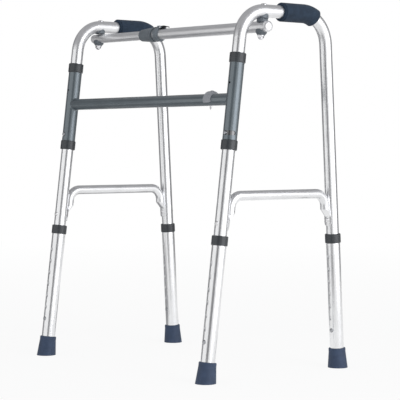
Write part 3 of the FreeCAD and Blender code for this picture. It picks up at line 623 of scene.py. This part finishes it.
def floor_material():
    """Pale floor: white to the camera far off and in gloss, with its shadow kept near by."""
    material, tree, shader = new_material("floor_pale")
    set_inputs(shader, {"Base Color": FLOOR_GREY, "Roughness": 0.9,
                        "Specular IOR Level": 0.0})
    glow = node(tree, "ShaderNodeEmission", {"Color": WHITE, "Strength": 1.0})
    distance = node(tree, "ShaderNodeVectorMath", operation="LENGTH")
    tree.links.new(object_coordinates(tree), distance.inputs[0])
    whiteness = remap(tree, distance.outputs["Value"], low=0.9, high=1.0, start=0.6, end=4.0)
    share = combine(tree, "MULTIPLY", seen_directly(tree), whiteness)
    mix_surface(tree, "Material Output", share, shader.outputs["BSDF"],
                glow.outputs["Emission"])
    return material


def studio_world():
    """White to the camera and in gloss; a softer pale grey as light."""
    world = bpy.data.worlds.new("studio")
    world.use_nodes = True
    tree = world.node_tree
    sky = tree.nodes["Background"]
    set_inputs(sky, {"Color": SKY_COLOUR, "Strength": SKY_STRENGTH})
    white = node(tree, "ShaderNodeBackground", {"Color": WHITE, "Strength": 1.0})
    mix_surface(tree, "World Output", seen_directly(tree), sky.outputs["Background"],
                white.outputs["Background"])
    return world


def area_light(name, place, width, power):
    """Soft square lamp that lights without showing as a hot spot in polished metal."""
    light = bpy.data.lights.new(name, "AREA")
    light.shape = "RECTANGLE"
    light.size = light.size_y = width
    light.energy = power
    made = bpy.data.objects.new(name, light)
    made.location = place
    made.rotation_mode = "QUATERNION"
    made.rotation_quaternion = (LAMP_TARGET - place).to_track_quat("-Z", "Y")
    made.visible_glossy = False
    bpy.context.scene.collection.objects.link(made)


def add_card(mesh, name, grey, smooth_angle):
    """Evenly glowing card that only gloss sees, so that it gives the metal its reflections."""
    material, tree, _shader = new_material(name + "_grey")
    glow = node(tree, "ShaderNodeEmission",
                {"Color": (grey, grey, grey * CARD_BLUE, 1.0), "Strength": 1.0})
    tree.links.new(glow.outputs["Emission"], tree.nodes["Material Output"].inputs["Surface"])
    card = to_object(mesh, name, material, smooth_angle)
    card.visible_camera = False
    card.visible_diffuse = False
    card.visible_shadow = False
    card.visible_transmission = False


def upright_card(name, bearing, spread, distance, height, grey):
    """Upright card that curves round the object."""
    mesh = bmesh.new()
    start = bearing - spread / 2
    foot = Vector((math.cos(start) * distance, math.sin(start) * distance, 0.0))
    ends = [mesh.verts.new(foot), mesh.verts.new(foot + Vector((0.0, 0.0, height)))]
    bmesh.ops.spin(mesh, geom=[mesh.edges.new(ends)], cent=(0.0, 0.0, 0.0),
                   axis=(0.0, 0.0, 1.0), angle=spread, steps=CARD_STEPS)
    add_card(mesh, name, grey, CARD_ANGLE)


def level_card(name, centre, half, grey):
    """Level square card over or under the object."""
    mesh = bmesh.new()
    bmesh.ops.create_grid(mesh, x_segments=1, y_segments=1, size=half,
                          matrix=Matrix.Translation(centre))
    add_card(mesh, name, grey, FLAT_ANGLE)


def add_floor(size):
    """Square floor, centred under the object."""
    mesh = bmesh.new()
    bmesh.ops.create_grid(mesh, x_segments=1, y_segments=1, size=size / 2)
    floor = to_object(mesh, "floor", floor_material(), FLAT_ANGLE)


def add_cards(toward_camera):
    """Cards round, over and under the object, set out from the camera's bearing."""
    for name, bearing, spread, distance, height, grey in UPRIGHT_CARDS:
        upright_card(name, toward_camera + math.radians(bearing), math.radians(spread),
                     distance, height, grey)
    for name, centre, half, grey in LEVEL_CARDS:
        level_card(name, centre, half, grey)
    bearing, place, half, grey = FRONT_FLOOR_CARD
    turn = Matrix.Rotation(toward_camera + math.radians(bearing), 3, "Z")
    level_card("front_floor_card", turn @ Vector(place), half, grey)


def add_camera(stage):
    """Camera that stands where the photograph was taken."""
    data = bpy.data.cameras.new("camera")
    data.sensor_width = SENSOR_WIDTH
    data.lens = stage.lens
    data.clip_start, data.clip_end = NEAREST, FARTHEST
    camera = bpy.data.objects.new("camera", data)
    camera.location = stage.camera_place
    camera.rotation_euler = (math.pi / 2 - stage.camera_tilt, 0.0, stage.camera_azimuth)
    bpy.context.scene.collection.objects.link(camera)
    bpy.context.scene.camera = camera


class WALKING_FRAME_OT_add_stage(bpy.types.Operator):
    """Pale floor, soft studio light and the camera"""
    bl_idname = "walking_frame.add_stage"
    bl_label = "Add Stage"

    def execute(self, context):
        stage = context.scene.frame_stage
        add_floor(stage.floor_size)
        context.scene.world = studio_world()
        area_light("key_light", KEY_PLACE, KEY_WIDTH, stage.key_power)
        area_light("fill_light", FILL_PLACE, FILL_WIDTH, stage.fill_power)
        add_cards(stage.camera_azimuth - math.pi / 2)
        add_camera(stage)
        context.scene.view_settings.view_transform = "Standard"
        return {"FINISHED"}


# ---- panel ----

OPERATORS = (
    WALKING_FRAME_OT_finish_tubes,
    WALKING_FRAME_OT_finish_grey_tubes,
    WALKING_FRAME_OT_finish_collars,
    WALKING_FRAME_OT_finish_fittings,
    WALKING_FRAME_OT_finish_fasteners,
    WALKING_FRAME_OT_finish_tips,
    WALKING_FRAME_OT_add_grips,
    WALKING_FRAME_OT_add_stage,
)


class VIEW3D_PT_walking_frame(bpy.types.Panel):
    """Lists the steps that dress the walking frame"""
    bl_idname = "VIEW3D_PT_walking_frame"
    bl_label = "Walking Frame"
    bl_space_type = "VIEW_3D"
    bl_region_type = "UI"
    bl_category = "Walking Frame"

    def draw(self, context):
        for operator in OPERATORS:
            self.layout.operator(operator.bl_idname)


CLASSES = (FrameColours, GripSizes, StageSettings) + OPERATORS + (VIEW3D_PT_walking_frame,)


def register():
    for kind in CLASSES:
        bpy.utils.register_class(kind)
    bpy.types.Scene.frame_colours = bpy.props.PointerProperty(type=FrameColours)
    bpy.types.Scene.frame_grips = bpy.props.PointerProperty(type=GripSizes)
    bpy.types.Scene.frame_stage = bpy.props.PointerProperty(type=StageSettings)


def unregister():
    del bpy.types.Scene.frame_stage
    del bpy.types.Scene.frame_grips
    del bpy.types.Scene.frame_colours
    for kind in reversed(CLASSES):
        bpy.utils.unregister_class(kind)


def main():
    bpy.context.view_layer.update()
    register()
    for operator in OPERATORS:
        group, name = operator.bl_idname.split(".")
        getattr(getattr(bpy.ops, group), name)()


if __name__ == "__main__":
    main()
